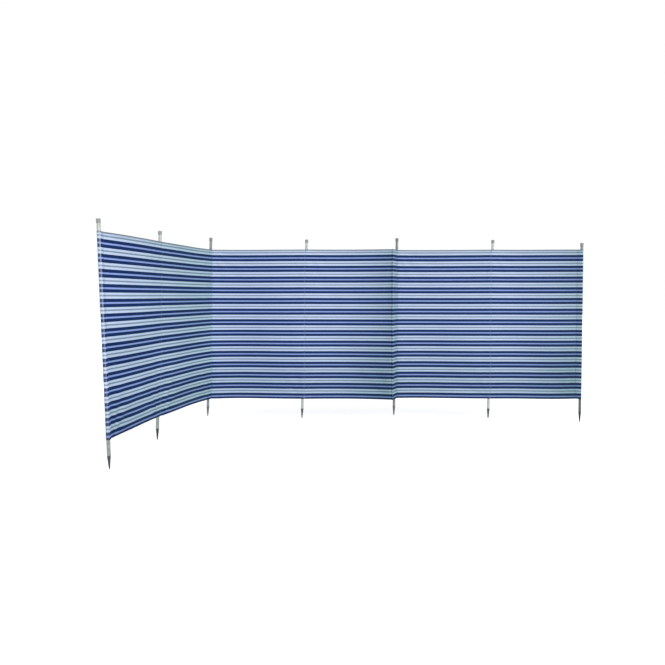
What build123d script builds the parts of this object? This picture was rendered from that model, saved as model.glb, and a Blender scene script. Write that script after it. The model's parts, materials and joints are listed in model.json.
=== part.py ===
from build123d import *
import os
from math import acos, atan2, cos, degrees, radians, sin, tan

# Beach windbreak: a striped cloth screen of six bays, held up by seven tube poles that stand
# in sleeves of the cloth. Two bays turn forward from the corner pole as a wing.
# Millimetres and degrees. +X runs along the front wall, -Y faces the sheltered side, +Z is up,
# and the origin is the blunt tip of the corner pole's ground spike.

# ---------------------------------------------------------------- driving dimensions: poles
tube_diameter = 22.0
tube_wall = 0.8
pole_length = 1465.0  # crown of the cap to the tip of the spike
spike_length = 80.0  # below the tube
spike_tip_diameter = 8.0
spike_shank_diameter = 20.0  # where the taper meets the collar
spike_collar_length = 10.0
spigot_length = 28.0  # part of the spike that is pushed up the tube
spigot_clearance = 0.05
cap_skirt_length = 22.0  # straight part of the cap
cap_edge_radius = 4.0  # rounding of its crown
cap_roof = 4.5  # thickness of the crown above the end of the tube
cap_wall = 2.0
cap_clearance = 0.05

# ---------------------------------------------------------------- driving dimensions: cloth
cloth_height = 1220.0
bay_width = 762.0  # stitch line to stitch line
end_take_up = 14.0  # what the end bays lose to the turn round the end poles
cloth_thickness = 2.0
wall_belly_bottom = 6.0  # how far the front wall's cloth hangs back in mid bay, at the lower hem
wall_belly_top = 3.0
wing_belly_bottom = 18.0
wing_belly_top = 6.0
pleat_along = 42.0  # open pleat beside one pole, back along the wall
pleat_out = 74.0  # and out from the wall
hem_depth = 22.0
hem_extra = 0.6  # hem proud of the cloth on each face

# ---------------------------------------------------------------- driving dimensions: sleeves
sleeve_clearance = 0.3  # round the tube
sleeve_gap = 5.0  # face of the cloth to the sleeve of an inner pole
stitch_half_width = 3.0  # half of the stitched strip between two bays
neck_half_width = 1.2
loop_end_radius = 0.4  # inside radius of a flattened fold
end_sleeve_width = 50.0  # outer fold to the stitch line at the end poles
sleeve_steps = 8  # even steps between the hems, as a sleeve turns from its stitches to its pole

# ---------------------------------------------------------------- driving dimensions: layout
corner_pole = 3
pleat_pole = corner_pole + 2  # the cloth is in lengths of two bays
bay_headings = (79.2, 74.2, -1.0, 3.5, -2.5, -0.5)  # from +X, first bay to last
seam_leans = (-1.3, 1.4, 0.9, 0.4, -0.1, -0.6, -0.6)  # top towards +X
pole_leans = (-1.3, 1.7, 1.7, 1.7, 0.7, 0.7, -0.6)
pole_rises = (71.0, 75.0, 98.0, 82.0, 97.0, 80.0, 54.0)  # crown of the cap above the cloth
# How far each inner pole stands to the right of its stitches, in outer radii of its sleeve.
pole_shift_shares = (-0.25, -1.7, -0.1, -1.05, 0.25)

# ---------------------------------------------------------------- derived sizes
bays = len(bay_headings)
pole_count = bays + 1
tube_radius = tube_diameter / 2
sleeve_inner_radius = tube_radius + sleeve_clearance
sleeve_outer_radius = sleeve_inner_radius + cloth_thickness
cap_inner_radius = tube_radius + cap_clearance
cap_outer_radius = cap_inner_radius + cap_wall
cap_height = cap_skirt_length + cap_edge_radius
corner_lean = radians(pole_leans[corner_pole - 1])
cloth_bottom = pole_length * cos(corner_lean) - pole_rises[corner_pole - 1] - cloth_height
cloth_top = cloth_bottom + cloth_height
cloth_middle = (cloth_bottom + cloth_top) / 2
neck_length = cloth_thickness / 2 + loop_end_radius + cloth_thickness + neck_half_width


def flat(vector):
    """The plan part of a vector."""
    return Vector(vector.X, vector.Y, 0)


def heading_vector(angle):
    """Unit plan vector at an angle from +X."""
    return Vector(cos(radians(angle)), sin(radians(angle)), 0)


def front_of(along):
    """Unit plan vector to the sheltered side of a wall that runs along the given vector."""
    return Vector(along.Y, -along.X, 0)


# ---------------------------------------------------------------- layout
def pole_offset(number):
    """Where an inner pole stands from its stitches: along the wall, and out to the sheltered side."""
    along = pole_shift_shares[number - 2] * sleeve_outer_radius
    return along, -(cloth_thickness / 2 + sleeve_gap + sleeve_outer_radius)


def station_points():
    """Plan points where the bays meet, at mid height, worked out from the corner pole."""
    lengths = [bay_width] * bays
    lengths[0] -= end_take_up
    lengths[-1] -= end_take_up
    along, out = pole_offset(corner_pole)
    right = heading_vector(bay_headings[corner_pole - 1])
    spike_to_middle = Vector(tan(corner_lean) * cloth_middle, 0, 0)
    points = {corner_pole: spike_to_middle - right * along - front_of(right) * out}
    for number in range(corner_pole, pole_count):
        step = heading_vector(bay_headings[number - 1]) * lengths[number - 1]
        points[number + 1] = points[number] + step
    for number in range(corner_pole - 1, 0, -1):
        step = heading_vector(bay_headings[number - 1]) * lengths[number - 1]
        points[number] = points[number + 1] - step
    return points


stations = station_points()


def station(number, z):
    """Where a stitch line stands at a height."""
    shift = tan(radians(seam_leans[number - 1])) * (z - cloth_middle)
    return Vector(stations[number].X + shift, stations[number].Y, z)


def bay_direction(bay, z):
    """Unit plan vector along a bay at a height, from its first station to its last."""
    return flat(station(bay + 1, z) - station(bay, z)).normalized()


def pleat_fold(z):
    """Where the pleated cloth turns back to its stitches."""
    right = bay_direction(pleat_pole, z)
    return station(pleat_pole, z) - right * pleat_along + front_of(right) * pleat_out


def cloth_before(number, z):
    """Unit plan vector along the cloth that comes to an inner station from its left."""
    if number == pleat_pole:
        return flat(station(number, z) - pleat_fold(z)).normalized()
    return bay_direction(number - 1, z)


def cloth_after(number, z):
    """Unit plan vector along the cloth that leaves a station to its right."""
    if number + 1 == pleat_pole:
        return flat(pleat_fold(z) - station(number, z)).normalized()
    return bay_direction(number, z)


def pole_direction(number):
    """Unit vector up a pole."""
    lean = radians(pole_leans[number - 1])
    return Vector(sin(lean), 0, cos(lean))


def pole_middle(number):
    """Where a pole's axis passes the cloth's mid height."""
    if 1 < number < pole_count:
        along, out = pole_offset(number)
        right = bay_direction(number, cloth_middle)
        return station(number, cloth_middle) + right * along + front_of(right) * out
    inward = bay_direction(1, cloth_middle) if number == 1 else -bay_direction(bays, cloth_middle)
    return station(number, cloth_middle) + inward * sleeve_outer_radius


def pole_axis_at(number, z):
    """Where a pole's axis passes a height."""
    direction = pole_direction(number)
    return pole_middle(number) + direction * ((z - cloth_middle) / direction.Z)


def pole_tip(number):
    """Centre of the blunt tip of a pole's spike."""
    crown = pole_axis_at(number, cloth_top + pole_rises[number - 1])
    return crown - pole_direction(number) * pole_length


def stand_up(piece, number):
    """Move a piece made along +Z from the spike's tip to a pole's place and lean."""
    return Plane(origin=pole_tip(number), z_dir=pole_direction(number)).location * piece


# ---------------------------------------------------------------- pole pieces, along +Z
def make_tube():
    """Steel tube, from the spike's shoulder to the roof of the cap."""
    length = pole_length - spike_length - cap_roof
    ring = Circle(tube_radius) - Circle(tube_radius - tube_wall)
    return Pos(0, 0, spike_length) * extrude(ring, length)


def make_spike():
    """Ground spike: blunt taper, collar flush with the tube, and a spigot up the tube."""
    spigot_radius = tube_radius - tube_wall - spigot_clearance
    collar_bottom = spike_length - spike_collar_length
    spigot_top = spike_length + spigot_length
    profile = Polyline(
        (0, 0, 0),
        (spike_tip_diameter / 2, 0, 0),
        (spike_shank_diameter / 2, 0, collar_bottom),
        (tube_radius, 0, collar_bottom),
        (tube_radius, 0, spike_length),
        (spigot_radius, 0, spike_length),
        (spigot_radius, 0, spigot_top),
        (0, 0, spigot_top),
        close=True,
    )
    return revolve(make_face(profile), Axis.Z)


def make_cap():
    """Push-on cap: a skirt outside the tube and a crown with a rounded edge."""
    bottom = pole_length - cap_height
    roof = pole_length - cap_roof
    body = Pos(0, 0, bottom) * extrude(Circle(cap_outer_radius), cap_height)
    body = fillet(body.edges().sort_by(Axis.Z)[-1], cap_edge_radius)
    return body - Pos(0, 0, bottom) * extrude(Circle(cap_inner_radius), roof - bottom)


# ---------------------------------------------------------------- cloth
def loft_through(section, levels):
    """Ruled solid through a section's outlines at a row of heights."""
    return Solid.make_loft([section(z) for z in levels], ruled=True)


def cloth_levels(steps):
    """Heights of the cloth's edges and of its hems' inner edges, with even steps between the hems."""
    low = cloth_bottom + hem_depth
    rise = (cloth_height - 2 * hem_depth) / steps
    return [cloth_bottom] + [low + rise * step for step in range(steps + 1)] + [cloth_top]


def hemmed(section, steps=1):
    """Cloth over its full height, with a hem above and below that is proud on each face.

    section(z, extra) gives the outline at a height, grown by an extra thickness on each face.
    """
    levels = cloth_levels(steps)
    cloth = loft_through(lambda z: section(z, 0), levels)
    lower_hem = loft_through(lambda z: section(z, hem_extra), levels[:2])
    upper_hem = loft_through(lambda z: section(z, hem_extra), levels[-2:])
    return cloth + lower_hem + upper_hem


def outline(points):
    """Closed wire through points."""
    return Wire([edge for edge in Polyline(*points, close=True).edges()])


def panel_gap(number):
    """Distance from a station to the end face of its panels."""
    return end_sleeve_width if number in (1, pole_count) else stitch_half_width


def belly(bay, z):
    """How far a bay's cloth hangs back in its middle at a height."""
    in_wing = bay < corner_pole
    at_bottom = wing_belly_bottom if in_wing else wall_belly_bottom
    at_top = wing_belly_top if in_wing else wall_belly_top
    share = (z - cloth_bottom) / cloth_height
    return at_bottom + (at_top - at_bottom) * share


def make_panel(bay):
    """One bay of cloth, hanging back in a shallow arc, with a thicker hem above and below."""
    pleated = bay + 1 == pleat_pole

    def section(z, extra):
        leaving = cloth_after(bay, z)
        start = station(bay, z) + leaving * panel_gap(bay)
        arriving = cloth_before(bay + 1, z) if bay < bays else bay_direction(bay, z)
        end = station(bay + 1, z) - arriving * panel_gap(bay + 1)
        bend = pleat_fold(z) if pleated else end
        front = front_of(leaving)
        middle = (start + bend) / 2 - front * belly(bay, z)
        half = cloth_thickness / 2 + extra
        edge = front_of(arriving) * half
        corner = (front * half + edge) / (1 + front.dot(front_of(arriving))) if pleated else edge
        face = ThreePointArc(start + front * half, middle + front * half, bend + corner)
        back = ThreePointArc(bend - corner, middle - front * half, start - front * half)
        if not pleated:
            return Wire([face, Line(face @ 1, back @ 0), back, Line(back @ 1, face @ 0)])
        turned = Polyline(face @ 1, end + edge, end - edge, back @ 0).edges()
        return Wire([face, *turned, back, Line(back @ 1, face @ 0)])

    return hemmed(section)


def loop_outline(circles):
    """Wire pulled tight round a row of (centre, radius) circles, level with their centres."""
    going = []
    returning = []
    for (centre, radius), (next_centre, next_radius) in zip(circles, circles[1:]):
        gap = flat(next_centre - centre)
        course = degrees(atan2(gap.Y, gap.X))
        spread = degrees(acos((radius - next_radius) / gap.length))
        going.append(course - spread)
        returning.append(course + spread)

    def rim(index, angle):
        centre, radius = circles[index]
        return centre + heading_vector(angle) * radius

    def turn(index, start, end):
        span = (end - start) % 360
        return ThreePointArc(rim(index, start), rim(index, start + span / 2), rim(index, end))

    last = len(circles) - 1
    edges = []
    for index in range(last):
        if index > 0:
            edges.append(turn(index, going[index - 1], going[index]))
        edges.append(Line(rim(index, going[index]), rim(index + 1, going[index])))
    edges.append(turn(last, going[-1], returning[-1]))
    for index in range(last, 0, -1):
        edges.append(Line(rim(index, returning[index - 1]), rim(index - 1, returning[index - 1])))
        if index > 1:
            edges.append(turn(index - 1, returning[index - 1], returning[index - 2]))
    edges.append(turn(0, returning[0], going[0]))
    return Wire(edges)


def hollow_fold(circles_at, joined):
    """Fold of cloth round the circles that circles_at gives for a height, with what it is joined to."""
    outside = hemmed(lambda z, extra: loop_outline(circles_at(z, cloth_thickness + extra)), sleeve_steps)
    inside = loft_through(lambda z: loop_outline(circles_at(z, 0)), cloth_levels(sleeve_steps))
    return outside + joined - inside


def make_strip(start_at, end_at, half_width):
    """Upright strip of cloth between two lines, each given as a function of height."""

    def section(z, extra):
        start, end = start_at(z), end_at(z)
        side = front_of(flat(end - start).normalized()) * (half_width + extra)
        return outline([start - side, end - side, end + side, start + side])

    return hemmed(section)


def make_end_sleeve(number):
    """Sleeve at an end pole: the cloth turned round the pole and stitched back to itself."""
    bay = 1 if number == 1 else bays

    def inward(z):
        return bay_direction(bay, z) * (1 if number == 1 else -1)

    def stitch(z):
        return station(number, z) + inward(z) * (end_sleeve_width - 2 * stitch_half_width)

    def panel_edge(z):
        return station(number, z) + inward(z) * end_sleeve_width

    def circles_at(z, thickness):
        stitched = (stitch(z), loop_end_radius + thickness)
        return [stitched, (pole_axis_at(number, z), sleeve_inner_radius + thickness)]

    tab = make_strip(stitch, panel_edge, cloth_thickness / 2)
    return hollow_fold(circles_at, tab)


def make_inner_sleeve(number):
    """Sleeve at an inner pole: a fold of cloth on a stitched strip between two bays."""

    def fold_direction(z):
        left = front_of(cloth_before(number, z))
        right = front_of(cloth_after(number, z))
        return -(left + right).normalized()

    def neck_end(z):
        return station(number, z) + fold_direction(z) * neck_length

    def circles_at(z, thickness):
        stitched = (neck_end(z), loop_end_radius + thickness)
        return [stitched, (pole_axis_at(number, z), sleeve_inner_radius + thickness)]

    def strip_ends(z):
        left = station(number, z) - cloth_before(number, z) * stitch_half_width
        right = station(number, z) + cloth_after(number, z) * stitch_half_width
        return left, right

    def strip_middle(z):
        left, right = strip_ends(z)
        return (left + right) / 2

    def strip_section(z, extra):
        left, right = strip_ends(z)
        half = cloth_thickness / 2 + extra
        left_side = front_of(cloth_before(number, z)) * half
        right_side = front_of(cloth_after(number, z)) * half
        return outline([left + left_side, left - left_side, right - right_side, right + right_side])

    neck = make_strip(strip_middle, neck_end, neck_half_width)
    return hollow_fold(circles_at, hemmed(strip_section) + neck)


# ---------------------------------------------------------------- nodes
def make_nodes():
    """Every named piece, in its place."""
    nodes = {}
    tube, spike, cap = make_tube(), make_spike(), make_cap()
    for number in range(1, pole_count + 1):
        nodes[f"pole_tube_{number}"] = stand_up(tube, number)
        nodes[f"ground_spike_{number}"] = stand_up(spike, number)
        nodes[f"pole_cap_{number}"] = stand_up(cap, number)
        make_sleeve = make_end_sleeve if number in (1, pole_count) else make_inner_sleeve
        nodes[f"pole_sleeve_{number}"] = make_sleeve(number)
    for bay in range(1, bays + 1):
        nodes[f"bay_panel_{bay}"] = make_panel(bay)
    return nodes


os.makedirs("parts", exist_ok=True)
for name, piece in make_nodes().items():
    export_step(piece, f"parts/{name}.step")
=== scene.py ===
import json
from math import acos, atan2, cos, exp, pi, radians, sin

import bpy
import numpy as np
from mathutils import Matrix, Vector, noise


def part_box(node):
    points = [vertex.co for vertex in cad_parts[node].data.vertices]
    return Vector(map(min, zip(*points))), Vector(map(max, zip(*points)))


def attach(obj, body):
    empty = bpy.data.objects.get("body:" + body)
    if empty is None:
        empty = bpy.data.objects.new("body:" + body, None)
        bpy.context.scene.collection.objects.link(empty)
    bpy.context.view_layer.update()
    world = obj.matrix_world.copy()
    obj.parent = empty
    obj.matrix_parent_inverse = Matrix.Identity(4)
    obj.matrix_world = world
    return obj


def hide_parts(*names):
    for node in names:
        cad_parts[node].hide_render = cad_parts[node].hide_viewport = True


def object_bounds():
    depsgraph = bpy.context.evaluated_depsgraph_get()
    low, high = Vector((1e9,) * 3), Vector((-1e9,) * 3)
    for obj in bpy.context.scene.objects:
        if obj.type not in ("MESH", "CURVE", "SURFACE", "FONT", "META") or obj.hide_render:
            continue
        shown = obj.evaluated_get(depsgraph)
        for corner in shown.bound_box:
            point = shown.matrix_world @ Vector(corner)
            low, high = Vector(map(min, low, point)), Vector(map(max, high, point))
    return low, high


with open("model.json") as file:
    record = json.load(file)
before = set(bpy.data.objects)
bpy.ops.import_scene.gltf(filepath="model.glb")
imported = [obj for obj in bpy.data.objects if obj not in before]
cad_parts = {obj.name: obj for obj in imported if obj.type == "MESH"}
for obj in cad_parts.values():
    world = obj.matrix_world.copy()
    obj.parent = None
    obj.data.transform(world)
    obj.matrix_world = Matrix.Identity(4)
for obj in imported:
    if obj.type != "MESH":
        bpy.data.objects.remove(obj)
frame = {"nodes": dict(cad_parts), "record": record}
cad_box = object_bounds()
bpy.ops.object.select_all(action="DESELECT")

# ------------------------------------------------------------ sizes, in metres
bays = 6
poles = bays + 1
end_poles = (1, poles)
corner_pole = 3
pleat_pole = corner_pole + 2  # the cloth is in lengths of two bays
tube_radius = 0.011

cloth_thickness = 0.0006
hem_depth = 0.022
hem_gap = 0.0015  # between the two layers of a hem
seam_depth = 0.0016  # how far the cloth is drawn back where two bays are stitched together
seam_reach = 0.005
stripe_period = 1.220 / 14.02

# How far back the lower and the upper hem lie in mid bay, and the left half before the right.
bellies = {
    1: (0.001, -0.018, 0),
    2: (0.018, 0.009, -0.005),
    3: (0.028, 0.014, 0.010),
    4: (0.028, 0.018, 0),
    5: (0.012, 0.010, 0.006),
    6: (-0.008, 0.002, 0.008),
}
top_sag = 0.001  # of the upper hem in mid bay
# Waves of the cloth between its poles: depth, waves to a metre along and up, place in the noise.
cloth_waves = ((0.0045, 2.6, 2.2, 0), (0.0011, 11, 8, 20))
wave_settle = 0.05  # waves die away this near the stitches

pull_reach = 0.12  # from a corner of the cloth to where its folds are deepest
pull_folds = 13  # how close the folds lie round the corner
foot_pull_turn = 1.7  # turn of a lower corner's folds from one bay to the next
head_pull_turn = 2.9
head_pull_start = 1
wall_pull = 0.0016  # depth of the folds
wing_pull = 0.004

pucker_depth = 0.0007  # of the short waves beside the stitches
pucker_pitch = 0.046
pucker_reach = 0.022
pucker_drift = 3  # how unevenly they lie, in radians
pucker_drift_waves = 5  # to a metre
pucker_seed = 3
pucker_hold = 0.004  # the stitches hold the cloth flat this far

pleat_along = 0.045  # edge of the pleat, back along the wall from its stitches
pleat_out = 0.104  # and out from the wall
pleat_tuck = 0.013  # cloth folded double behind the edge
pleat_gap = 0.0046  # between the two layers of the fold
fold_rounding = (0.003, 0.0021, 0.0021)  # at the pleat's inner fold and the two sides of its edge

sleeve_ease = 0.0012  # cloth of a sleeve to its tube
end_sleeve_ease = 0.0004
sleeve_slack = 0.0006  # most that is added to the ease
slack_waves = 4.5  # to a metre of height
slack_slice = 0.3  # place in the noise
neck_radius = 0.0007  # of the cloth's turn at a stitched edge
neck_length = 0.003
crumple_depth = 0.0006
end_crumple_depth = 0.0002
crumple_waves = (70, 16)  # to a metre, round the sleeve and up it
crumple_hold = 0.01  # the stitches hold the sleeve smooth this far
crumple_seed = 40

thread_radius = 0.0004
stitch_pitch = 0.0040
stitch_length = 0.0030
stitch_inset = 0.0030  # of a row of stitches from the edge it holds
seam_end_inset = 0.004  # of the upright rows from the hems

# Steps that the sheets are drawn in.
hem_steps = 5
field_steps = 122
edge_columns = (0, 0.0006, 0.0012, 0.0018, 0.0025, 0.004, 0.006, 0.009, 0.013)
columns_to_a_metre = 115
sleeve_columns = 48
sleeve_samples = 200
arc_steps = 16
noise_spacing = 7.31  # between the slices of noise that seeds pick
edge_band = 0.001  # points this near a panel's edge count as on it

# ------------------------------------------------------------ places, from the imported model
mounts = {mount["name"]: mount for mount in frame["record"]["mounts"]}


def unit(vector):
    """The vector at length 1."""
    return vector / np.linalg.norm(vector)


def pole_at(number, z):
    """Plan place of a pole's axis at a height."""
    foot = mounts.get(f"foot_{number}", mounts["corner_foot"])
    tip = np.array(foot["pos_m"])
    up = -np.array(foot["axis"])
    return (tip + up * ((z - tip[2]) / up[2]))[:2]


def panel_corner(bay, at_end, at_top):
    """Middle of the end face of a bay's panel, on its upper or lower edge."""
    vertices = frame["nodes"][f"bay_panel_{bay}"].data.vertices
    points = np.array([vertex.co for vertex in vertices])
    level = points[:, 2].max() if at_top else points[:, 2].min()
    edge = points[np.abs(points[:, 2] - level) < edge_band]
    along = unit(pole_at(bay + 1, level) - pole_at(bay, level))
    reach = edge[:, :2] @ along
    limit = reach.max() if at_end else reach.min()
    return edge[np.abs(reach - limit) < edge_band].mean(axis=0)


def line_through(low, high):
    """Function that gives the plan point of a straight line at a height."""
    return lambda z: (low + (high - low) * ((z - low[2]) / (high[2] - low[2])))[:2]


def bay_end_line(bay, at_end):
    """Line of a bay's edge: the stitch line it shares with its neighbour, or its own end."""
    number = bay + 1 if at_end else bay
    low, high = panel_corner(bay, at_end, False), panel_corner(bay, at_end, True)
    if 1 < number < poles:
        other = bay + 1 if at_end else bay - 1
        low = (low + panel_corner(other, not at_end, False)) / 2
        high = (high + panel_corner(other, not at_end, True)) / 2
    return line_through(low, high)


cloth_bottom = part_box("bay_panel_3")[0].z
cloth_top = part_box("bay_panel_3")[1].z
cloth_height = cloth_top - cloth_bottom
cloth_middle = (cloth_bottom + cloth_top) / 2
start_lines = {bay: bay_end_line(bay, False) for bay in range(1, bays + 1)}
end_lines = {bay: bay_end_line(bay, True) for bay in range(1, bays + 1)}


def front_of(along):
    """Unit plan vector to the sheltered side of a wall."""
    return np.array((along[1], -along[0]))


def pleat_corners(z):
    """Plan points of the pleat: its inner fold, and the left and right side of its front edge."""
    stitches = start_lines[pleat_pole](z)
    right = unit(end_lines[pleat_pole](z) - stitches)
    edge = stitches - right * pleat_along + front_of(right) * pleat_out
    inward = unit(stitches - edge)
    left_side = edge - front_of(inward) * pleat_gap
    return [left_side + inward * pleat_tuck, left_side, edge]


def bay_corners(bay, z):
    """Plan points that a bay's cloth is stretched between."""
    folds = pleat_corners(z) if bay + 1 == pleat_pole else []
    return [start_lines[bay](z), *folds, end_lines[bay](z)]


def cloth_before(number, z):
    """Unit plan vector along the cloth that comes to a pole from its left."""
    corners = bay_corners(number - 1, z)
    return unit(corners[-1] - corners[-2])


def cloth_after(number, z):
    """Unit plan vector along the cloth that leaves a pole to its right."""
    corners = bay_corners(number, z)
    return unit(corners[1] - corners[0])


def seam_back(number, z):
    """Unit plan vector to the back at the stitches of an inner pole."""
    return -unit(front_of(cloth_before(number, z)) + front_of(cloth_after(number, z)))


# ------------------------------------------------------------ folds and ripples
def ripple(x, y, seed):
    """Smooth noise between about -1 and 1."""
    return noise.noise(Vector((x, y, seed * noise_spacing)))


def corner_pull(reach, drop, turn, depth):
    """Folds that fan out from a corner where the cloth hangs on its pole."""
    distance = (reach * reach + drop * drop) ** 0.5
    swell = (distance / pull_reach) * exp(1 - distance / pull_reach)
    return swell * sin(pull_folds * atan2(drop, reach) + turn) * depth


def bay_shape(bay, s, width, z):
    """How far a bay's cloth lies back from the straight line between its ends."""
    share = s / width
    rise = (z - cloth_bottom) / cloth_height
    arch = 4 * share * (1 - share)
    at_bottom, at_top, lean = bellies[bay]
    hang = (at_bottom + (at_top - at_bottom) * rise) * arch + lean * sin(2 * pi * share)
    waves = sum(
        depth * ripple(s * along, z * up, bay + seed) for depth, along, up, seed in cloth_waves
    )
    foot_pull = wing_pull if bay < corner_pole else wall_pull
    pulls = 0
    foot_turn, head_turn = bay * foot_pull_turn, bay * head_pull_turn + head_pull_start
    for reach in (s, width - s):
        pulls += corner_pull(reach, z - cloth_bottom, foot_turn, foot_pull)
        pulls += corner_pull(reach, cloth_top - z, head_turn, wall_pull)
    edge = min(s, width - s)
    drift = pucker_drift * ripple(z * pucker_drift_waves, bay, pucker_seed)
    pucker = pucker_depth * exp(-edge / pucker_reach) * sin(z * 2 * pi / pucker_pitch + drift)
    settle = min(1, edge / wave_settle)
    return hang + (waves + pulls) * settle + pucker * min(1, edge / pucker_hold)


def seam_draw(reach):
    """How far the cloth is drawn back at a distance from the stitches to the next bay."""
    return seam_depth * exp(-((reach / seam_reach) ** 2))


# ------------------------------------------------------------ shapes of the cloth
def hem_rows():
    """Rows of a sheet from the turned-in edge below to the one above.

    Each row is its height, how far it is set back, and its place up the flat cloth.
    """
    radius = hem_gap / 2
    turned = np.linspace(hem_depth, hem_gap, hem_steps)
    bend = np.linspace(0, pi, hem_steps)[1:-1]
    rows = [(cloth_bottom + rise, hem_gap, -rise) for rise in turned]
    for turn in bend:
        rise = radius * (1 - sin(turn))
        rows.append((cloth_bottom + rise, radius * (1 + cos(turn)), (turn / pi - 0.5) * hem_gap))
    hem = list(turned[::-1])
    field = list(np.linspace(hem_depth, cloth_height - hem_depth, field_steps)[1:-1])
    for rise in hem + field + [cloth_height - rise for rise in reversed(hem)]:
        rows.append((cloth_bottom + rise, 0, rise))
    for turn in bend:
        drop = radius * (1 - sin(turn))
        place = cloth_height + (turn / pi - 0.5) * hem_gap
        rows.append((cloth_top - drop, radius * (1 - cos(turn)), place))
    rows += [(cloth_top - rise, hem_gap, cloth_height + rise) for rise in reversed(turned)]
    return rows


def bay_runs(bay):
    """Lengths of the straight runs of a bay's cloth at mid height."""
    corners = bay_corners(bay, cloth_middle)
    return [float(np.linalg.norm(end - start)) for start, end in zip(corners, corners[1:])]


def run_columns(length):
    """Places along a run, closer together towards its ends."""
    count = max(1, round(length * columns_to_a_metre))
    near = [place for place in edge_columns if place < length / 2]
    middle = np.linspace(near[-1], length - near[-1], count + 2)[1:-1]
    return near + list(middle) + [length - place for place in reversed(near)]


def bay_columns(bay):
    """Places along a bay's cloth."""
    columns = [0]
    run_start = 0
    for length in bay_runs(bay):
        columns += [run_start + place for place in run_columns(length)[1:]]
        run_start += length
    return np.array(columns)


def path_at(corners, runs, s):
    """Plan point and back direction at a place along a bay's path, with its folds rounded."""
    starts = np.concatenate(([0], np.cumsum(runs)))
    for fold, rounding in enumerate(fold_rounding[: len(runs) - 1], start=1):
        past = s - starts[fold]
        if abs(past) < rounding:
            corner = corners[fold]
            before, after = unit(corner - corners[fold - 1]), unit(corners[fold + 1] - corner)
            share = (past + rounding) / (2 * rounding)
            start, end = corner - before * rounding, corner + after * rounding
            rest = 1 - share
            place = start * rest**2 + corner * 2 * share * rest + end * share**2
            return place, -unit(front_of(before) * rest + front_of(after) * share)
    run = min(int(np.searchsorted(starts, s, side="right")) - 1, len(runs) - 1)
    along = corners[run + 1] - corners[run]
    return corners[run] + along * ((s - starts[run]) / runs[run]), -front_of(unit(along))


def bay_surface(bay):
    """Function that gives a bay's points and back directions at a height."""
    runs = bay_runs(bay)
    open_width, width = runs[0], sum(runs)

    def surface(columns, z):
        corners = bay_corners(bay, z)
        left = seam_back(bay, z) if bay > 1 else np.zeros(2)
        right = seam_back(bay + 1, z) if bay < bays else np.zeros(2)
        points, backs = [], []
        for s in columns:
            place, back = path_at(corners, runs, s)
            sag = 0
            if s < open_width:
                share = s / open_width
                place = place + back * bay_shape(bay, s, open_width, z)
                sag = top_sag * 4 * share * (1 - share) * (z - cloth_bottom) / cloth_height
            place = place + left * seam_draw(s) + right * seam_draw(width - s)
            points.append((place[0], place[1], z - sag))
            backs.append((back[0], back[1], 0))
        return np.array(points), np.array(backs)

    return surface


def heading(angle):
    """Unit plan vector at an angle from +X."""
    return np.array((cos(angle), sin(angle)))


def drawn_round(neck, pole, count):
    """Evenly spaced plan points of cloth drawn from a neck round its pole and back.

    The neck and the pole are each a centre and a radius.
    """
    (neck_centre, neck_turn), (centre, radius) = neck, pole
    gap = centre - neck_centre
    course = atan2(gap[1], gap[0])
    spread = acos((neck_turn - radius) / np.linalg.norm(gap))
    turns = np.linspace(course - spread, course + spread, arc_steps + 1)
    path = [neck_centre + neck_turn * heading(turns[0])]
    path += [centre + radius * heading(turn) for turn in turns]
    path.append(neck_centre + neck_turn * heading(turns[-1]))
    path = np.array(path)
    steps = np.linalg.norm(np.diff(path, axis=0), axis=1)
    lengths = np.concatenate(([0], np.cumsum(steps)))
    places = np.linspace(0, lengths[-1], count)
    return np.column_stack([np.interp(places, lengths, path[:, axis]) for axis in (0, 1)])


def neck_and_pole(number, z):
    """What a sleeve's cloth is drawn round at a height: its stitched neck and its pole."""
    slack = 0.5 + 0.5 * ripple(z * slack_waves, slack_slice, number)
    ease = end_sleeve_ease if number in end_poles else sleeve_ease
    pole = (pole_at(number, z), tube_radius + ease + sleeve_slack * slack)
    if number == 1:
        neck = start_lines[1](z) - cloth_after(1, z) * neck_radius
    elif number == poles:
        neck = end_lines[bays](z) + cloth_before(poles, z) * neck_radius
    else:
        neck = start_lines[number](z) + seam_back(number, z) * neck_length
    return (neck, neck_radius), pole


def sleeve_surface(number):
    """Length round a sleeve's cloth, and the function that gives its points and back directions."""
    middle = drawn_round(*neck_and_pole(number, cloth_middle), sleeve_samples)
    length = float(np.linalg.norm(np.diff(middle, axis=0), axis=1).sum())
    at_end = number in end_poles
    back_side = -1 if at_end else 1  # the hem is turned to the inside round an end pole
    depth = end_crumple_depth if at_end else crumple_depth
    round_waves, up_waves = crumple_waves

    def surface(columns, z):
        path = drawn_round(*neck_and_pole(number, z), len(columns))
        course = np.gradient(path, axis=0)
        course /= np.linalg.norm(course, axis=1)[:, None]
        outward = np.column_stack((course[:, 1], -course[:, 0]))
        for index, s in enumerate(columns):
            free = min(1, min(s, length - s) / crumple_hold)
            crumple = 1 + ripple(s * round_waves, z * up_waves, number + crumple_seed)
            path[index] += outward[index] * depth * free * crumple
        points = np.column_stack((path, np.full(len(columns), z)))
        backs = np.column_stack((outward, np.zeros(len(columns)))) * back_side
        return points, backs

    return length, surface


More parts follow.
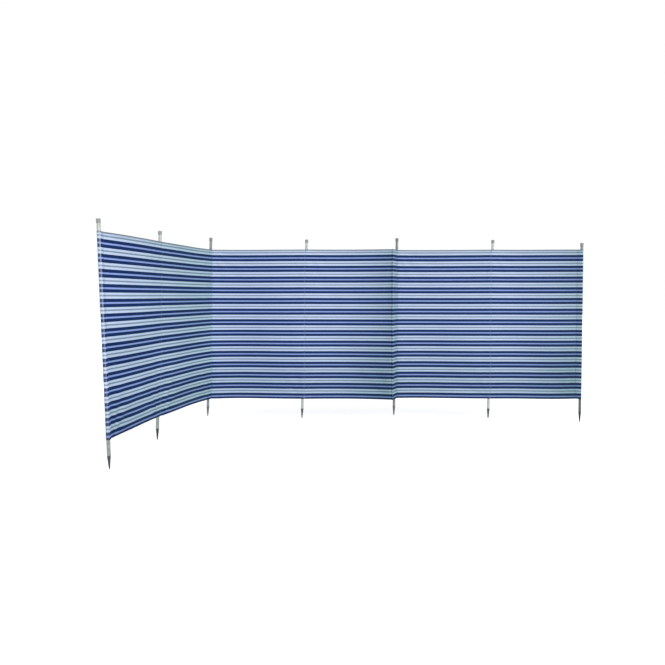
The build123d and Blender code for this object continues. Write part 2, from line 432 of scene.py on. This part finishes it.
# ------------------------------------------------------------ painted light and wear
# Each place of the cloth is greyed by painted shade, darkened by painted shade and towards the
# bottom, lightened by painted light beside the pleat, bleached, and on the first sleeve given a
# painted highlight, each by an amount of its own. Heights are shares of the cloth's height, and a
# pair gives where an amount begins and where it is full.
faded = 0.11  # bleaching of the cloth at large
low_darkening = (0.55, 0.05)  # darker towards the bottom of the cloth
foot_shade = (0.3, 0)  # painted shade low on the wing and its first sleeve
knee_shade = (0.62, 0.42)  # painted shade below mid height at the free end of the wing
wing_shade = (0.08, 0.9)  # painted shade of the wing: at its free end, and gained towards the corner
wing_shade_power = 1.3
shaded_end = (0.62, 0.98)  # painted shade at the right end of each length of cloth, by share of the length
# painted shade: how much darker the lower cloth gets at the right end of each length
shaded_end_low_extra = 0.4
# painted shade, greyed, over the last part of each length
length_end = (0.85, 1)
length_end_shade = 0.3
right_shade = 0.25  # painted shade on the cloth past the pleat
# painted shade on the cloth round the pleat: greyed, and darkened
pleat_shade = 1.0
pleat_shade_darkening = 0.3
beside_pleat = (0.955, 0.995)  # by share of the bay
# painted light that lightens the cloth just left of the pleat, against the pleat's shade there
beside_pleat_light = 0.7
rubbed = 0.4  # over a pole in mid length
rubbed_reach = (0.0055, 0.0025)
crest_share = 0.594  # painted highlight on the front crest of the first sleeve, by share of the way round it
crest_width = 0.028
# the first sleeve is paler round its pole, behind the crest
behind_crest = (crest_share - 0.02, crest_share - 0.06)
behind_crest_pale = 0.7
crest_highlight = (1, 4)  # painted highlight at the foot, and gained towards the top
# painted shade on the last sleeve
last_sleeve_shade = 0.85


def ramp_between(value, start, end):
    """Smooth step from 0 at the start to 1 at the end."""
    share = min(1, max(0, (value - start) / (end - start)))
    return share * share * (3 - 2 * share)


def wing_shade_and_wear(along, rise):
    """Painted shade and wear of the wing by share of its length: painted shade low on it and at its
    free end, greyer painted shade towards the corner, and bleaching.
    """
    painted_shade, gained = wing_shade
    knee = ramp_between(rise, *knee_shade) * max(0, 1 - 2 * along)
    darkening = ramp_between(rise, *foot_shade) + knee
    return painted_shade + gained * sin(pi / 2 * along) ** wing_shade_power, darkening, faded * along


def bay_shade_and_wear(bay, share, rise):
    """How far a place on a bay's cloth is greyed and darkened by painted shade, darker towards the
    bottom, and bleached.

    The cloth is in lengths of two bays, and each has painted shade towards its right end.
    """
    low_darkened = ramp_between(rise, *low_darkening)
    if share > 1:  # round the pleat, in painted shade
        return pleat_shade, pleat_shade_darkening + low_darkened, faded
    if bay < corner_pole:
        return wing_shade_and_wear((bay - 1 + share) / 2, rise)
    along = ((bay - corner_pole) % 2 + share) / 2
    # painted shade towards the right end of each length, which also deepens the darkening towards
    # the bottom
    end_shade = ramp_between(along, *shaded_end)
    darkening = end_shade + low_darkened * (1 + shaded_end_low_extra * end_shade)
    # painted shade on the cloth past the pleat
    if bay >= pleat_pole:
        darkening += right_shade
    # painted light: lighter just left of the pleat, against the pleat's shade
    if bay + 1 == pleat_pole:
        painted_lift = ramp_between(share, *beside_pleat)
        darkening = darkening * (1 - painted_lift) - beside_pleat_light * painted_lift
    return length_end_shade * ramp_between(along, *length_end), darkening, faded


def rubbed_pale(number, reach):
    """Bleaching of the cloth rubbed against a pole that stands in mid length."""
    return rubbed * ramp_between(reach, *rubbed_reach) if number % 2 == 0 else 0


def sleeve_light_and_wear(number, share, rise):
    """The same for a sleeve, by share of the way round it.

    The first sleeve is paler round its pole, with a painted highlight along its front crest, and
    the last sleeve has painted shade.
    """
    if number == 1:
        crest = exp(-(((share - crest_share) / crest_width) ** 2))
        at_foot, gained = crest_highlight
        bleach_and_highlight = behind_crest_pale * ramp_between(share, *behind_crest)
        darkening = ramp_between(rise, *foot_shade)
        return wing_shade[0], darkening, bleach_and_highlight + (at_foot + gained * rise) * crest
    # painted shade on the last sleeve, and darker towards the bottom
    if number == poles:
        return last_sleeve_shade, right_shade + ramp_between(rise, *low_darkening), faded
    return bay_shade_and_wear(number - 1, 1, rise)


# ------------------------------------------------------------ sheets of cloth
def apply_modifier(piece, name):
    """Apply one modifier as by hand."""
    bpy.ops.object.select_all(action="DESELECT")
    piece.select_set(True)
    bpy.context.view_layer.objects.active = piece
    bpy.ops.object.modifier_apply(modifier=name)
    piece.select_set(False)


def make_sheet(name, columns, surface, light_and_wear):
    """Cloth over its full height, with both hems turned over.

    A flat grid is laid out, drawn to the surface row by row, and given its thickness.
    """
    rows = hem_rows()
    vertices, places, light_and_wear_values = [], [], []
    for z, set_back, own_height in rows:
        points, backs = surface(columns, z)
        vertices.append(points + backs * set_back)
        places.extend((s, own_height) for s in columns)
        light_and_wear_values.extend(light_and_wear(s, own_height / cloth_height) for s in columns)
    bpy.ops.mesh.primitive_grid_add(
        x_subdivisions=len(columns) - 1,
        y_subdivisions=len(rows) - 1,
        size=1,
        calc_uvs=False,
        location=(0, 0, 0),
    )
    piece = bpy.context.object
    piece.name = name
    mesh = piece.data
    mesh.name = name
    mesh.vertices.foreach_set("co", np.concatenate(vertices).ravel())
    layer = mesh.uv_layers.new(name="cloth")
    for loop in mesh.loops:
        layer.data[loop.index].uv = places[loop.vertex_index]
    # painted light and wear of each point, for the cloth's material
    light_and_wear_layer = mesh.attributes.new("light_and_wear", "FLOAT_VECTOR", "POINT")
    light_and_wear_layer.data.foreach_set("vector", np.array(light_and_wear_values, dtype=np.float32).ravel())
    solidify = piece.modifiers.new("thickness", "SOLIDIFY")
    solidify.thickness = cloth_thickness
    solidify.offset = 0
    apply_modifier(piece, solidify.name)
    mesh.shade_smooth()
    return piece


# ------------------------------------------------------------ stitching
def draw_out_tip(bead, reach):
    """Move the middle of one end of a bead on along X."""
    bpy.ops.object.mode_set(mode="EDIT")
    bpy.ops.mesh.select_mode(type="VERT")
    bpy.ops.mesh.select_all(action="DESELECT")
    bpy.ops.object.mode_set(mode="OBJECT")
    for vertex in bead.data.vertices:
        on_axis = Vector(vertex.co.yz).length < thread_radius / 2
        vertex.select = on_axis and vertex.co.x * reach > 0
    bpy.ops.object.mode_set(mode="EDIT")
    bpy.ops.transform.translate(value=(reach, 0, 0))
    bpy.ops.object.mode_set(mode="OBJECT")


def model_stitch():
    """One stitch along X: a six-sided bead drawn out to a point at each end."""
    bpy.ops.mesh.primitive_cylinder_add(
        vertices=6,
        radius=thread_radius,
        depth=stitch_length / 2,
        end_fill_type="TRIFAN",
        calc_uvs=False,
        location=(0, 0, 0),
        rotation=(0, pi / 2, 0),
    )
    bead = bpy.context.object
    bpy.ops.object.transform_apply(location=False, rotation=True, scale=False)
    draw_out_tip(bead, stitch_length / 4)
    draw_out_tip(bead, -stitch_length / 4)
    points = np.array([vertex.co for vertex in bead.data.vertices])
    faces = [tuple(face.vertices) for face in bead.data.polygons]
    bpy.data.objects.remove(bead)
    return points, faces


def make_stitching(name, rows, stitch):
    """Rows of copies of one stitch.

    Each row is a list of (point, outward direction) pairs that the thread follows.
    """
    shape, shape_faces = stitch
    vertices, faces = [], []
    for row in rows:
        for (point, outward), (next_point, _) in zip(row, row[1:]):
            along = unit(next_point - point)
            across = unit(np.cross(outward, along))
            out = np.cross(along, across)
            base = len(vertices)
            turned = shape[:, :1] * along + shape[:, 1:2] * across + shape[:, 2:] * out
            vertices.extend(((point + next_point) / 2 + turned).tolist())
            faces.extend(tuple(base + corner for corner in face) for face in shape_faces)
    mesh = bpy.data.meshes.new(name)
    mesh.from_pydata(vertices, [], faces)
    mesh.shade_smooth()
    piece = bpy.data.objects.new(name, mesh)
    bpy.context.scene.collection.objects.link(piece)
    return piece


def hem_stitch_rows(length, surface):
    """Rows along both hems, on the face and on the turned-over side."""
    places = np.arange(stitch_pitch, length - stitch_pitch, stitch_pitch)
    skin = cloth_thickness / 2
    row_rise = hem_depth - stitch_inset
    rows = []
    for z in (cloth_bottom + row_rise, cloth_top - row_rise):
        points, backs = surface(places, z)
        rows.append([(point - back * skin, -back) for point, back in zip(points, backs)])
        lift = hem_gap + skin
        rows.append([(point + back * lift, back) for point, back in zip(points, backs)])
    return rows


def seam_stitch_rows(width, surface):
    """Upright rows beside a bay's edges, on both faces."""
    heights = np.arange(cloth_bottom + seam_end_inset, cloth_top - seam_end_inset, stitch_pitch)
    skin = cloth_thickness / 2
    faces, reverses = ([], []), ([], [])
    for z in heights:
        points, backs = surface(np.array((stitch_inset, width - stitch_inset)), z)
        in_hem = min(z - cloth_bottom, cloth_top - z) < hem_depth
        lift = skin + (hem_gap if in_hem else 0)
        for edge in (0, 1):
            faces[edge].append((points[edge] - backs[edge] * skin, -backs[edge]))
            reverses[edge].append((points[edge] + backs[edge] * lift, backs[edge]))
    return [*faces, *reverses]


# ------------------------------------------------------------ materials
cloud_span = (0.3, 0.7)
thread_scale = 640.0
thread_wander = 0.6


def set_inputs(tree, node, inputs):
    """Set each named or numbered input of a node to a value, or link it to an output."""
    for socket, value in inputs.items():
        if isinstance(value, bpy.types.NodeSocket):
            tree.links.new(value, node.inputs[socket])
        else:
            node.inputs[socket].default_value = value


def add_node(tree, kind, inputs, **settings):
    """A node with its settings and inputs."""
    node = tree.nodes.new(kind)
    for key, value in settings.items():
        setattr(node, key, value)
    set_inputs(tree, node, inputs)
    return node


def new_material(name):
    """An empty node material, with its tree and its shader."""
    material = bpy.data.materials.new(name)
    material.use_nodes = True
    tree = material.node_tree
    return material, tree, tree.nodes["Principled BSDF"]


def object_place(tree):
    """Place on the part."""
    return tree.nodes.new("ShaderNodeTexCoord").outputs["Object"]


def drawn_long(tree, place, scale):
    """Place scaled along each axis, for a pattern that runs one way."""
    return add_node(tree, "ShaderNodeMapping", {"Vector": place, "Scale": scale}).outputs[0]


def clouds(tree, place, *, scale, detail, roughness=0.5):
    """Soft uneven pattern from 0 to 1, most of it within cloud_span."""
    inputs = {"Vector": place, "Scale": scale, "Detail": detail, "Roughness": roughness}
    return add_node(tree, "ShaderNodeTexNoise", inputs).outputs["Fac"]


def threads(tree, place, direction):
    """Ridges of the threads that run one way."""
    inputs = {"Vector": place, "Scale": thread_scale, "Distortion": thread_wander}
    return add_node(tree, "ShaderNodeTexWave", inputs, bands_direction=direction).outputs["Fac"]


def worked_out(tree, operation, *values):
    """Result of a sum on outputs and numbers."""
    inputs = dict(enumerate(values))
    return add_node(tree, "ShaderNodeMath", inputs, operation=operation).outputs[0]


def axis_of(tree, vector, axis):
    """One axis of a vector."""
    return add_node(tree, "ShaderNodeSeparateXYZ", {0: vector}).outputs[axis]


def ranged(tree, value, span, levels, **settings):
    """Amount that goes from one level to the other while a value goes over a span."""
    (start, end), (at_start, at_end) = span, levels
    inputs = {"Value": value, "From Min": start, "From Max": end}
    inputs.update({"To Min": at_start, "To Max": at_end})
    return add_node(tree, "ShaderNodeMapRange", inputs, **settings).outputs[0]


def two_toned(tree, value, dark, light, span=(0, 1)):
    """Colour that goes from dark to light while a value goes over a span."""
    ramp = add_node(tree, "ShaderNodeValToRGB", {0: value})
    for stop, place, colour in zip(ramp.color_ramp.elements, span, (dark, light)):
        stop.position, stop.color = place, colour
    return ramp.outputs["Color"]


def tinted(tree, blend, colour, tint, amount):
    """Colour with a tint laid over it by an amount, which may pass 1 or be less than 0."""
    inputs = {"Factor": amount, "A": colour, "B": tint}
    settings = {"data_type": "RGBA", "blend_type": blend, "clamp_factor": False}
    return add_node(tree, "ShaderNodeMix", inputs, **settings).outputs["Result"]


def raised(tree, height, *, strength, distance):
    """Surface direction of a fine relief."""
    inputs = {"Height": height, "Strength": strength, "Distance": distance}
    return add_node(tree, "ShaderNodeBump", inputs).outputs[0]


def srgb(red, green, blue):
    """Linear colour from display values out of 255."""
    return tuple(((value / 255 + 0.055) / 1.055) ** 2.4 for value in (red, green, blue)) + (1,)


navy = srgb(12, 42, 91)
mid_blue = srgb(143, 163, 225)
pale_blue = srgb(196, 211, 240)
grey_line = srgb(128, 143, 166)
top_fold_grey = srgb(122, 134, 145)
# Colours of one period, counted down from the upper edge: (share where it starts, colour).
stripe_bands = (
    (0.0, navy),
    (0.078, pale_blue),
    (0.228, grey_line),
    (0.340, pale_blue),
    (0.496, navy),
    (0.727, mid_blue),
    (0.847, navy),
)
stripe_blur = 0.032  # share of a period that a change of colour takes
stripe_drift = 0.0008  # how far the stripes wander, in metres
top_fold_width = 0.0088  # grey line along the fold of the upper hem
top_fold_cover = 0.9
painted_shade_tint = (0.72, 0.84, 0.74, 1)  # tints of painted shade; of painted shade and darkening towards the bottom; of bleaching and a painted highlight
darkening_tint = (0.80, 0.85, 0.83, 1)
bleach_and_highlight_tint = (0.55, 0.68, 0.78, 1)
bleach_and_highlight_strength = 0.11


def stripe_colour(tree, phase):
    """Colour over one period of stripes, each change spread over a few threads."""
    ramp = add_node(tree, "ShaderNodeValToRGB", {0: phase})
    stops = ramp.color_ramp.elements
    stops[0].color = stripe_bands[0][1]
    stops[1].color = stripe_bands[-1][1]
    half = stripe_blur / 2
    for (_, before), (share, after) in zip(stripe_bands, stripe_bands[1:]):
        for place, colour in ((share - half, before), (share + half, after)):
            stops.new(place).color = colour
    return ramp.outputs["Color"]


def striped_cloth():
    """Woven cloth: stripes along it, slubs, uneven dye, wear, painted shade and a painted
    highlight, and a weave in its relief.
    """
    material, tree, shader = new_material("striped_cloth")
    place = add_node(tree, "ShaderNodeUVMap", {}, uv_map="cloth").outputs["UV"]
    wander = clouds(tree, drawn_long(tree, place, (9, 240, 1)), scale=1.0, detail=2.0)
    long_place = drawn_long(tree, place, (7, 700, 1))
    slubs = clouds(tree, long_place, scale=1.0, detail=3.0, roughness=0.6)
    patches = clouds(tree, place, scale=3.2, detail=4.0)

    down = worked_out(tree, "SUBTRACT", cloth_height, axis_of(tree, place, "Y"))
    down = worked_out(tree, "MULTIPLY_ADD", wander, stripe_drift, down)
    phase = worked_out(tree, "FRACT", worked_out(tree, "DIVIDE", down, stripe_period))
    top_fold_line = ranged(
        tree,
        worked_out(tree, "ABSOLUTE", down),
        span=(top_fold_width / 2, top_fold_width * 2),
        levels=(top_fold_cover, 0.0),
        interpolation_type="SMOOTHSTEP",
    )
    colour = tinted(tree, "MIX", stripe_colour(tree, phase), top_fold_grey, top_fold_line)
    slub_tone = ranged(tree, slubs, cloud_span, levels=(0.93, 1.05))
    patch_tone = ranged(tree, patches, cloud_span, levels=(0.96, 1.03))
    tone = worked_out(tree, "MULTIPLY", slub_tone, patch_tone)
    shade = add_node(tree, "ShaderNodeVectorMath", {0: colour, "Scale": tone}, operation="SCALE")

    # Greying by painted shade, darkening by painted shade and towards the bottom, and bleaching
    # with a painted highlight, from the attribute.
    light_and_wear = add_node(tree, "ShaderNodeAttribute", {}, attribute_name="light_and_wear").outputs["Vector"]
    bleach_and_highlight = worked_out(tree, "MULTIPLY", axis_of(tree, light_and_wear, "Z"), bleach_and_highlight_strength)
    colour = tinted(tree, "MULTIPLY", shade.outputs[0], painted_shade_tint, axis_of(tree, light_and_wear, "X"))
    colour = tinted(tree, "MULTIPLY", colour, darkening_tint, axis_of(tree, light_and_wear, "Y"))
    colour = tinted(tree, "MIX", colour, bleach_and_highlight_tint, bleach_and_highlight)

    weave = worked_out(tree, "MULTIPLY", threads(tree, place, "X"), threads(tree, place, "Y"))
    height = worked_out(tree, "ADD", weave, slubs)
    finish = {
        "Base Color": colour,
        "Roughness": 0.82,
        "Specular IOR Level": 0.1,
        "Normal": raised(tree, height, strength=0.25, distance=0.0002),
    }
    set_inputs(tree, shader, finish)
    return material


def seam_thread():
    """Twisted sewing thread, mid blue with a darker twist."""
    material, tree, shader = new_material("seam_thread")
    twist = clouds(tree, object_place(tree), scale=900.0, detail=2.0)
    finish = {
        "Base Color": two_toned(tree, twist, srgb(66, 82, 124), srgb(120, 138, 178)),
        "Roughness": 0.7,
        "Normal": raised(tree, twist, strength=0.3, distance=0.0001),
    }
    set_inputs(tree, shader, finish)
    return material


foot_tint_height = 0.3  # over which the darker foot of a tube fades out, up from the lower edge of the cloth
spangle_share = 0.6  # of the clouds in the tone of the zinc, and the rest is drawn marks


def galvanised_steel(name, dark, light, darkening):
    """Dull zinc on tube: cloudy spangle, fine marks drawn along it, and darker below the cloth."""
    material, tree, shader = new_material(name)
    place = object_place(tree)
    spangle = clouds(tree, place, scale=55.0, detail=5.0, roughness=0.6)
    drawn = clouds(tree, drawn_long(tree, place, (900, 900, 14)), scale=1.0, detail=3.0)
    marks = worked_out(tree, "MULTIPLY", drawn, 1 - spangle_share)
    marks = worked_out(tree, "MULTIPLY_ADD", spangle, spangle_share, marks)
    zinc = two_toned(tree, marks, dark, light, span=(0.36, 0.64))
    foot_tint_span = (cloth_bottom, cloth_bottom + foot_tint_height)
    foot_tint_share = ranged(tree, axis_of(tree, place, "Z"), foot_tint_span, levels=(1.0, 0.0))
    finish = {
        "Base Color": tinted(tree, "MULTIPLY", zinc, darkening, foot_tint_share),
        "Roughness": ranged(tree, spangle, cloud_span, levels=(0.3, 0.5)),
        "Normal": raised(tree, drawn, strength=0.15, distance=0.0002),
        "Metallic": 0.85,
    }
    set_inputs(tree, shader, finish)
    return material


def moulded_plastic(name, dark, light, roughness):
    """Moulded plastic with a fine spark-eroded grain and pale scuffs."""
    material, tree, shader = new_material(name)
    place = object_place(tree)
    grain = clouds(tree, place, scale=1400.0, detail=2.0)
    scuffs = clouds(tree, place, scale=130.0, detail=6.0, roughness=0.7)
    levels = (roughness - 0.08, roughness + 0.12)
    finish = {
        "Base Color": two_toned(tree, scuffs, dark, light, span=(0.45, 0.75)),
        "Roughness": ranged(tree, scuffs, cloud_span, levels),
        "Normal": raised(tree, grain, strength=0.2, distance=0.0001),
    }
    set_inputs(tree, shader, finish)
    return material


# ------------------------------------------------------------ pieces
def dress(piece, material):
    """Give a new piece its material and put it on the part's one body."""
    piece.data.materials.append(material)
    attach(piece, "root")


def make_bay(bay, cloth, thread, stitch):
    """A bay's sheet with its rows of stitching."""
    surface = bay_surface(bay)
    columns = bay_columns(bay)
    width = float(columns[-1])
    open_width = bay_runs(bay)[0]

    # painted light and wear of each place, with pale rubbing beside the poles in mid length
    def light_and_wear(s, rise):
        painted_shade, darkening, bleach_and_highlight = bay_shade_and_wear(bay, s / open_width, rise)
        return painted_shade, darkening, bleach_and_highlight + rubbed_pale(bay, s) + rubbed_pale(bay + 1, width - s)

    sheet = make_sheet(f"cloth_bay_{bay}", columns, surface, light_and_wear)
    dress(sheet, cloth)
    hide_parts(f"bay_panel_{bay}")
    rows = hem_stitch_rows(width, surface) + seam_stitch_rows(width, surface)
    stitching = make_stitching(f"bay_stitching_{bay}", rows, stitch)
    dress(stitching, thread)


def make_sleeve(number, cloth, thread, stitch):
    """A sleeve's sheet round its pole, with its rows of stitching."""
    length, surface = sleeve_surface(number)
    columns = np.linspace(0, length, sleeve_columns)

    # painted light and wear of each place round the sleeve
    def light_and_wear(s, rise):
        return sleeve_light_and_wear(number, s / length, rise)

    sheet = make_sheet(f"cloth_sleeve_{number}", columns, surface, light_and_wear)
    dress(sheet, cloth)
    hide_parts(f"pole_sleeve_{number}")
    rows = hem_stitch_rows(length, surface)
    stitching = make_stitching(f"sleeve_stitching_{number}", rows, stitch)
    dress(stitching, thread)


def finish_node(name, material):
    """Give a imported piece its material."""
    piece = frame["nodes"][name]
    piece.data.materials.clear()
    piece.data.materials.append(material)


cloth = striped_cloth()
thread = seam_thread()
stitch = model_stitch()

light_zinc = (srgb(154, 162, 160), srgb(198, 204, 202))
# The next two are darker copies of the same zinc: painted shade for poles 3 and 5, and for pole 7.
shaded_zinc = (srgb(106, 110, 114), srgb(154, 158, 162))
dark_shaded_zinc = (srgb(106, 112, 112), srgb(154, 160, 160))
# tints of the tubes below the cloth: slight, darker and darkest
pale_foot_tint = (0.90, 0.90, 0.88, 1)
mid_foot_tint = (0.56, 0.62, 0.57, 1)
deep_foot_tint = (0.42, 0.50, 0.46, 1)
pale_steel = galvanised_steel("pale_steel", *light_zinc, pale_foot_tint)
dark_foot_steel = galvanised_steel("dark_foot_steel", *light_zinc, mid_foot_tint)
shaded_steel = galvanised_steel("shaded_steel", *shaded_zinc, pale_foot_tint)
dark_shaded_steel = galvanised_steel("dark_shaded_steel", *dark_shaded_zinc, deep_foot_tint)
grey_cap = moulded_plastic("grey_cap", srgb(134, 135, 139), srgb(178, 179, 183), 0.38)
# darker copy of the cap: painted shade for poles 3 and 5
shaded_cap = moulded_plastic("shaded_cap", srgb(114, 115, 119), srgb(158, 159, 163), 0.42)
spike_plastic = moulded_plastic("spike_plastic", srgb(44, 48, 50), srgb(80, 86, 86), 0.48)
grey_spike = moulded_plastic("grey_spike", srgb(66, 70, 72), srgb(106, 112, 112), 0.48)
black_spike = moulded_plastic("black_spike", srgb(22, 25, 28), srgb(48, 52, 54), 0.48)
# Finishes of the poles that differ from the others; the darker tubes and caps are painted shade.
tube_finishes = {1: dark_foot_steel, 2: dark_foot_steel, 3: shaded_steel, 5: shaded_steel, 7: dark_shaded_steel}
cap_finishes = {3: shaded_cap, 5: shaded_cap}
spike_finishes = {2: black_spike, 3: grey_spike, 5: grey_spike, 7: black_spike}

for bay in range(1, bays + 1):
    make_bay(bay, cloth, thread, stitch)
for number in range(1, poles + 1):
    make_sleeve(number, cloth, thread, stitch)
    finish_node(f"pole_tube_{number}", tube_finishes.get(number, pale_steel))
    finish_node(f"pole_cap_{number}", cap_finishes.get(number, grey_cap))
    finish_node(f"ground_spike_{number}", spike_finishes.get(number, spike_plastic))


# ------------------------------------------------------------ floor, light and camera
floor_tone = 0.9
floor_size = 60
floor_middle = 1.5
floor_glow = 0.52  # lifts the floor to white where nothing shades it
floor_gap = 0.001  # under the lowest spike
sky_level = 0.60
sun_level = 2.0
sun_spread = 50  # degrees
sun_direction = (0.51, -0.64, 0.574)  # towards the sun
eye_place = (1.0337, -5.0594, 0.9937)
look_down = 3.422  # degrees
lens_length = 33.376  # millimetres
sensor_width = 36


def seen_white(tree):
    """Value that is 1 for the camera and in reflections, and 0 for light on the object."""
    path = tree.nodes.new("ShaderNodeLightPath").outputs
    mirrored = worked_out(tree, "MAXIMUM", path["Is Glossy Ray"], path["Is Transmission Ray"])
    return worked_out(tree, "MAXIMUM", path["Is Camera Ray"], mirrored)


def make_floor():
    """Pale floor under the lowest spike, white where nothing shades it."""
    level = cad_box[0].z - floor_gap
    bpy.ops.mesh.primitive_plane_add(size=floor_size, location=(floor_middle, 0, level))
    floor = bpy.context.object
    floor.name = "studio_floor"
    material, tree, shader = new_material("studio_floor")
    finish = {
        "Base Color": (floor_tone, floor_tone, floor_tone, 1),
        "Roughness": 0.9,
        "Specular IOR Level": 0,
        "Emission Color": (1, 1, 1, 1),
        "Emission Strength": worked_out(tree, "MULTIPLY", seen_white(tree), floor_glow),
    }
    set_inputs(tree, shader, finish)
    floor.data.materials.append(material)


def light_world():
    """Even light from all round, and plain white where the camera sees it."""
    world = bpy.data.worlds.new("studio")
    bpy.context.scene.world = world
    world.use_nodes = True
    tree = world.node_tree
    strength = ranged(tree, seen_white(tree), span=(0.0, 1.0), levels=(sky_level, 1.0))
    set_inputs(tree, tree.nodes["Background"], {"Color": (1, 1, 1, 1), "Strength": strength})


def add_sun():
    """Soft sun from the front right, that lights wall and wing alike."""
    sun = bpy.data.lights.new("sun", "SUN")
    sun.energy = sun_level
    sun.angle = radians(sun_spread)
    holder = bpy.data.objects.new("sun", sun)
    bpy.context.scene.collection.objects.link(holder)
    holder.rotation_euler = Vector(sun_direction).to_track_quat("Z", "Y").to_euler()


def make_camera():
    """About 1 m up in front of the wall, and looking slightly down."""
    camera = bpy.data.cameras.new("camera")
    camera.lens = lens_length
    camera.sensor_width = sensor_width
    holder = bpy.data.objects.new("camera", camera)
    bpy.context.scene.collection.objects.link(holder)
    holder.location = eye_place
    holder.rotation_euler = (radians(90 - look_down), 0, 0)
    bpy.context.scene.camera = holder


make_floor()
light_world()
add_sun()
make_camera()
bpy.context.scene.view_settings.view_transform = "Standard"
